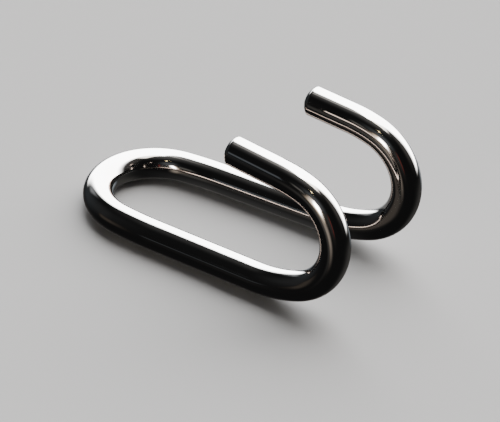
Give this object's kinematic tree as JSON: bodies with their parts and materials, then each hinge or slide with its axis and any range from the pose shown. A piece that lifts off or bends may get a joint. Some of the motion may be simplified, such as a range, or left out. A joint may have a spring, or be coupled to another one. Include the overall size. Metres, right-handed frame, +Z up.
{
  "type": "nose hook",
  "caption": "Polished round bar bent into a strap loop and a pair of upright hooks that curl back over the legs to dome-ended prongs.",
  "frame": {"origin": "on the floor, under the middle of the whole outline, with the hook lying on its two legs and its loop", "axes": "+X from the strap loop to the hooks, +Z up, +Y to the left seen from the loop"},
  "size_m": [0.054, 0.0278, 0.0261],
  "materials": {
    "polished_steel": "mirror polish"
  },
  "bodies": {
    "root": {"hook_bar": "polished_steel"}
  },
  "joints": []
}
